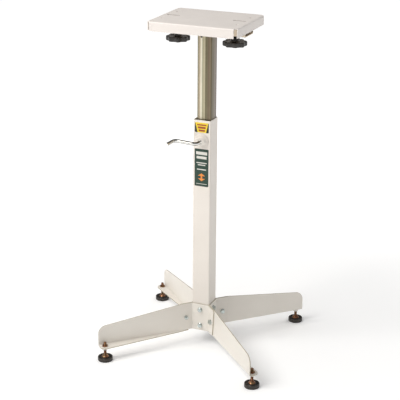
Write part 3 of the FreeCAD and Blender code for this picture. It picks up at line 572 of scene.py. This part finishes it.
def make_crisp_pieces():
    """The pieces whose CAD shape is right as it is, with their edges softened."""
    widths = {
        "outer_tube": 0.35, "inner_column": 0.35, "head_channel": 0.4, "top_pan": 0.5,
        "boss_plate": 0.8, "lock_boss": 0.8, "tube_bolts": 0.25, "tube_weld_nuts": 0.25,
        "leg_bolts": 0.25, "leg_bolt_nuts": 0.25, "foot_weld_nuts": 0.3, "foot_lock_nuts": 0.3,
        "clamp_weld_nuts": 0.3, "label_upper": 0.08, "label_lower": 0.08,
    }
    widths.update({f"leg_{corner}": 0.5 for corner in CORNERS})
    widths.update({f"clamp_washer_{side}": 0.3 for side in SIDES})
    for node, width in widths.items():
        crisp_copy(node, width * MM)


# ---------------------------------------------------------------- clamp knobs

# Every profile below is a list of (radius, height) points in millimetres.
KNOB_PROFILE = [
    (14.0, 2.2), (26.0, 2.2), (30.0, 1.2), (33.0, 0.25), (37.0, 0.05), (39.1, 0.8),
    (40.2, 2.4), (40.5, 4.6), (40.5, 12.4), (40.2, 14.6), (39.1, 16.2), (36.9, 16.95),
    (33.5, 16.9), (30.0, 15.9), (26.0, 15.2), (19.0, 15.2), (15.5, 15.7), (13.6, 17.2),
    (13.0, 19.0), (12.7, 22.2), (11.9, 23.3), (10.8, 23.5), (5.6, 23.5),
]


def make_knob(side):
    """A moulded star knob: eight lobes, rounded rims, a dished top around the hub and a cored underside."""
    node = f"knob_{side}"
    low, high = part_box(node)
    stud_low, stud_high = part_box(f"knob_stud_{side}")
    centre = Vector(((stud_low.x + stud_high.x) / 2, (stud_low.y + stud_high.y) / 2, low.z))
    lobes = 8
    valley_depth = 7 * MM
    rim_radius = 40.5 * MM
    hub_radius = 13 * MM
    hub_height = high.z - low.z
    disc_height = 17 * MM
    hole_radius = 5.05 * MM
    hole_edge = 0.5 * MM

    def lobed(radius, height, angle):
        share = max(0.0, (radius - hub_radius) / (rim_radius - hub_radius)) ** 1.5
        dip = (0.5 + 0.5 * math.cos(lobes * angle)) ** 0.75
        return radius - valley_depth * dip * share

    points = in_metres(KNOB_PROFILE)
    points.append((hole_radius, hub_height - hole_edge))
    points.append((hole_radius, hub_height - disc_height + hole_edge))
    shell = bmesh.new()
    lathe(shell, points, 96, Matrix.Translation(centre), lobed)
    mesh = from_bmesh(f"{node}_moulding", shell)
    finish_mesh(mesh, finishes["black_plastic"], 50)
    piece = add_piece(f"{node}_moulding", mesh, body_of_node[node], "black_plastic", node)
    smooth = piece.modifiers.new("smooth", "SUBSURF")
    smooth.levels = smooth.render_levels = 1
    return piece


def make_knob_stud(side):
    """The threaded stud that each knob turns."""
    node = f"knob_stud_{side}"
    low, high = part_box(node)
    centre = Vector(((low.x + high.x) / 2, (low.y + high.y) / 2, 0))
    shell = bmesh.new()
    thread(shell, (high.x - low.x) / 2, STUD_PITCH, low.z, high.z, Matrix.Translation(centre))
    mesh = from_bmesh(f"{node}_threaded", shell)
    finish_mesh(mesh, finishes["black_steel"], 70)
    return add_piece(f"{node}_threaded", mesh, body_of_node[node], "black_steel", node)


# ---------------------------------------------------------------- feet

FOOT_HUB_PROFILE = [
    (4.9, 10.1), (4.9, 11.9), (11.4, 12.0), (11.85, 12.15), (12.0, 12.6), (12.0, 13.9),
    (11.8, 14.5), (11.2, 15.0), (9.7, 16.3), (8.4, 18.0), (7.5, 20.0), (7.0, 21.3),
    (6.6, 21.85), (6.0, 22.0), (4.4, 22.0),
]
FOOT_PAD_PROFILE = [
    (22.0, 0.0), (24.4, 0.0), (25.2, 0.5), (25.43, 1.6), (25.47, 3.0), (25.3, 3.6),
    (24.9, 3.9), (24.9, 4.6), (25.3, 4.9), (25.47, 5.5), (25.47, 11.2), (25.25, 12.3),
    (24.6, 12.9), (23.7, 13.0), (22.9, 12.8), (22.3, 12.1), (22.0, 11.0), (21.6, 9.4),
    (20.6, 8.7), (19.0, 8.5), (16.5, 8.5), (15.2, 8.7), (14.3, 9.5), (14.0, 10.6),
    (13.7, 11.4), (13.0, 11.7), (5.6, 11.7), (5.1, 11.4), (5.05, 9.7),
]


def make_foot_stud(corner):
    """The levelling stud: a bell-shaped hub that sits on the pad, and a rolled thread above it."""
    node = f"foot_stud_{corner}"
    low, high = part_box(node)
    place = Matrix.Translation(((low.x + high.x) / 2, (low.y + high.y) / 2, 0))
    stud_radius = 5 * MM
    thread_start = 21.5 * MM
    shell = bmesh.new()
    lathe(shell, in_metres(FOOT_HUB_PROFILE), 48, place)
    thread(shell, stud_radius, STUD_PITCH, thread_start, high.z, place)
    mesh = from_bmesh(f"{node}_threaded", shell)
    finish_mesh(mesh, finishes["yellow_zinc"], 50)
    return add_piece(f"{node}_threaded", mesh, body_of_node[node], "yellow_zinc", node)


def make_foot_pad(corner):
    """The pad: a moulded cup with a rolled rim and radial ribs between the rim and the hub's seat."""
    node = f"foot_pad_{corner}"
    low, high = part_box(node)
    place = Matrix.Translation(((low.x + high.x) / 2, (low.y + high.y) / 2, low.z))
    shell = bmesh.new()
    lathe(shell, in_metres(FOOT_PAD_PROFILE), 72, place)
    add_pad_ribs(shell, place)
    mesh = from_bmesh(f"{node}_moulding", shell)
    finish_mesh(mesh, finishes["pad_plastic"], 55)
    return add_piece(f"{node}_moulding", mesh, body_of_node[node], "pad_plastic", node)


def add_pad_ribs(shell, place):
    """Twelve low ribs across the pad's dish."""
    ribs = 12
    inner = 13.6 * MM
    outer = 22.4 * MM
    base = 8.2 * MM
    top = 10.2 * MM
    half = 0.7 * MM
    half_at_top = 0.75 * half
    section = ((-half, base), (half, base), (half_at_top, top), (-half_at_top, top))
    for number in range(ribs):
        turn = place @ Matrix.Rotation(TURN * number / ribs, 4, "Z")
        ends = []
        for along in (inner, outer):
            ends.append([shell.verts.new(turn @ Vector((along, side, height))) for side, height in section])
        join_rings(shell, ends)


# ---------------------------------------------------------------- locking handle

def make_lock_handle():
    """The crank: one bent chrome rod with a rolled thread where it enters the boss."""
    low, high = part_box("lock_screw")
    boss_low, boss_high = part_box("lock_boss")
    radius = 6 * MM
    pitch = 1.75 * MM
    bend_radius = 14 * MM
    centre_height = (boss_low.z + boss_high.z) / 2
    thread_end = boss_low.y - 7 * MM
    thread_overlap = 1 * MM
    arm_turn = Matrix.Rotation(math.radians(3.2), 3, "Y")
    start = Vector((0, thread_end, 0))
    elbow = Vector((0, -78 * MM, 0))
    knee = Vector((-79 * MM, -78 * MM, 0))
    grip_end = Vector((-83 * MM, -134 * MM, 0))
    path = rounded_path([start, elbow, knee, grip_end], bend_radius, 14)
    shell = bmesh.new()
    rings = [rod_ring(shell, point, direction, radius, arm_turn, centre_height) for point, direction in path]
    end_point, end_direction = path[-1]
    chamfer = 0.8 * MM
    chamfer_start = 0.1 * MM
    for forward, narrower in ((chamfer_start, 0), (chamfer_start + chamfer, chamfer)):
        place = end_point + end_direction * forward
        rings.append(rod_ring(shell, place, end_direction, radius - narrower, arm_turn, centre_height))
    join_rings(shell, rings)
    screw = axis_frame(Vector((0, thread_end - thread_overlap, centre_height)), Vector((0, 1, 0)))
    thread(shell, radius, pitch, 0, high.y - thread_end + thread_overlap, screw, segments=36)
    mesh = from_bmesh("lock_screw_rod", shell)
    finish_mesh(mesh, finishes["chrome"], 30)
    return add_piece("lock_screw_rod", mesh, "lock_handle", "chrome", "lock_screw")


def rod_ring(shell, point, direction, radius, arm_turn, height, around=40):
    """One ring of points about a rod's centre line, which is drawn flat and then turned and raised."""
    across = direction.cross(UP).normalized()
    ring = []
    for step in range(around):
        angle = TURN * step / around
        flat = point + (across * math.cos(angle) + UP * math.sin(angle)) * radius
        ring.append(shell.verts.new(arm_turn @ flat + UP * height))
    return ring


def rounded_path(corners, radius, steps):
    """Points and directions along straight runs joined by arcs of one radius, to just short of the end."""
    end_gap = 1 * MM
    path = [(corners[0], (corners[1] - corners[0]).normalized())]
    for before, corner, after in zip(corners, corners[1:], corners[2:]):
        arriving = (corner - before).normalized()
        leaving = (after - corner).normalized()
        turn = arriving.angle(leaving)
        reach = radius * math.tan(turn / 2)
        inwards = (leaving - arriving * arriving.dot(leaving)).normalized()
        centre = corner - arriving * reach + inwards * radius
        axis = arriving.cross(leaving).normalized()
        from_centre = corner - arriving * reach - centre
        for step in range(steps + 1):
            rotation = Matrix.Rotation(turn * step / steps, 3, axis)
            path.append((centre + rotation @ from_centre, rotation @ arriving))
    last_direction = (corners[-1] - corners[-2]).normalized()
    path.append((corners[-1] - last_direction * end_gap, last_direction))
    return path


# ---------------------------------------------------------------- welds

def make_ring_weld(name, centre, radius, depth, bead):
    """A bead around a round piece on the front of the tube."""
    count = round(TURN * radius / WELD_RIPPLE)
    points = []
    for step in range(count):
        angle = TURN * step / count
        across = centre.x + radius * math.cos(angle)
        up = centre.z + radius * math.sin(angle)
        points.append(Vector((across, depth, up)))
    weld_bead(name, points, bead, "base", "tube_paint")


def make_boss_welds():
    """Beads that hold the round plate to the tube and the boss to the plate."""
    plate_low, plate_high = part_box("boss_plate")
    boss_low, boss_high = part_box("lock_boss")
    centre = (plate_low + plate_high) / 2
    plate_radius = (plate_high.x - plate_low.x) / 2
    boss_radius = (boss_high.x - boss_low.x) / 2
    make_ring_weld("boss_plate_weld", centre, plate_radius, plate_high.y - 0.6 * MM, 1.9 * MM)
    make_ring_weld("boss_weld", centre, boss_radius, plate_low.y - 0.2 * MM, 1.7 * MM)


def make_column_welds():
    """Beads along the four flat sides of the column's top, where it meets the channel."""
    low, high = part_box("inner_column")
    corner = 6 * MM
    left, right = low.x + corner, high.x - corner
    near, far = low.y + corner, high.y - corner
    runs = (("front", (left, low.y), (right, low.y)), ("back", (left, high.y), (right, high.y)),
            ("left", (low.x, near), (low.x, far)), ("right", (high.x, near), (high.x, far)))
    for name, start, end in runs:
        points = line_points(Vector((*start, high.z)), Vector((*end, high.z)))
        weld_bead(f"column_weld_{name}", points, 2.0 * MM, "head", "bare_steel", closed=False)


def make_pan_welds():
    """Three short beads along each side of the channel, where it meets the pan."""
    low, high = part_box("head_channel")
    stitch = 28 * MM
    gap = 88 * MM
    for side, y in (("front", low.y), ("back", high.y)):
        for number in (-1, 0, 1):
            middle = number * (stitch + gap)
            start = Vector((middle - stitch / 2, y, high.z))
            end = Vector((middle + stitch / 2, y, high.z))
            name = f"pan_weld_{side}_{number + 2}"
            weld_bead(name, line_points(start, end), 1.9 * MM, "head", "pan_paint", closed=False)


# ---------------------------------------------------------------- stage, lights and camera

def make_floor():
    """A plain white floor that glows a little more away from the stand, like an evenly lit studio floor."""
    reach = 16.0
    squares = 8
    below_feet = 0.0002
    shell = bmesh.new()
    bmesh.ops.create_grid(shell, x_segments=squares, y_segments=squares, size=reach)
    floor = bpy.data.objects.new("studio_floor", from_bmesh("studio_floor", shell))
    bpy.context.scene.collection.objects.link(floor)
    floor.location.z = cad_low.z - below_feet
    finish = Finish("studio_floor", Roughness=0.8, Specular_IOR_Level=0.10, Emission_Color=(1, 1, 1, 1))
    from_middle = finish.add("VectorMath", {0: finish.coordinates()}, operation="LENGTH").outputs["Value"]
    glow = finish.spread(from_middle, 0.30, 2.5, 0.08, 0.52)
    finish.feed(glow, finish.shader.inputs["Emission Strength"])
    patches = finish.spread(finish.noise(1.5, detail=2), 0.3, 0.7)
    floor.data.materials.append(finish.wear(finish.blend(patches, (0.95, 0.95, 0.95), (0.96, 0.96, 0.96))))


def make_world():
    """A bright studio: white where the floor ends, dimmer just above that and light again overhead."""
    world = bpy.data.worlds.new("studio")
    bpy.context.scene.world = world
    world.use_nodes = True
    nodes, links = world.node_tree.nodes, world.node_tree.links
    background = nodes["Background"]
    direction = nodes.new("ShaderNodeTexCoord").outputs["Generated"]
    split = nodes.new("ShaderNodeSeparateXYZ")
    ramp = nodes.new("ShaderNodeValToRGB")
    links.new(direction, split.inputs["Vector"])
    links.new(split.outputs["Z"], ramp.inputs["Fac"])
    links.new(ramp.outputs["Color"], background.inputs["Color"])
    ramp.color_ramp.elements.new(1.0)
    stops = ((0.03, (1.3, 1.3, 1.3, 1)), (0.20, (0.34, 0.34, 0.345, 1)), (0.75, (1.0, 1.0, 1.0, 1)))
    for element, (height, colour) in zip(ramp.color_ramp.elements, stops):
        element.position = height
        element.color = colour
    background.inputs["Strength"].default_value = 0.57


def add_panel(name, direction, distance, size, power, colour=(1, 1, 1)):
    """A square soft light that points at the middle of the stand."""
    light = bpy.data.lights.new(name, "AREA")
    light.shape = "SQUARE"
    light.size = size
    light.energy = power
    light.color = colour
    lamp = bpy.data.objects.new(name, light)
    bpy.context.scene.collection.objects.link(lamp)
    target = Vector((0, 0, 0.6))
    lamp.location = target + Vector(direction).normalized() * distance
    lamp.rotation_euler = (target - lamp.location).to_track_quat("-Z", "Y").to_euler()


def make_lights():
    make_world()
    add_panel("key_light", (-0.56, -0.65, 0.92), 4.0, 2.2, 121, (1.0, 0.985, 0.96))
    add_panel("back_light", (0.30, 0.85, 0.45), 4.5, 2.5, 20, (1.0, 0.975, 0.945))


def make_camera():
    """The view of the stand: from in front and a little to its right, slightly above, with a long lens."""
    roll = math.radians(0.48)
    distance = 3.978
    target = Vector((0, 0, 0.5292))
    data = bpy.data.cameras.new("view")
    data.sensor_width = 36
    data.lens = 104.8
    data.shift_x = -0.0122
    camera = bpy.data.objects.new("view", data)
    bpy.context.scene.collection.objects.link(camera)
    level = math.cos(VIEW_ELEVATION)
    rise = math.sin(VIEW_ELEVATION)
    back = Vector((math.sin(VIEW_AZIMUTH) * level, -math.cos(VIEW_AZIMUTH) * level, rise))
    camera.matrix_world = (Matrix.Translation(target + back * distance)
                           @ (-back).to_track_quat("-Z", "Y").to_matrix().to_4x4()
                           @ Matrix.Rotation(roll, 4, "Z"))
    bpy.context.scene.camera = camera


make_crisp_pieces()
for side in SIDES:
    make_knob(side)
    make_knob_stud(side)
for corner in CORNERS:
    make_foot_stud(corner)
    make_foot_pad(corner)
make_lock_handle()
make_boss_welds()
make_column_welds()
make_pan_welds()
make_floor()
make_lights()
make_camera()
bpy.context.scene.view_settings.view_transform = "Standard"
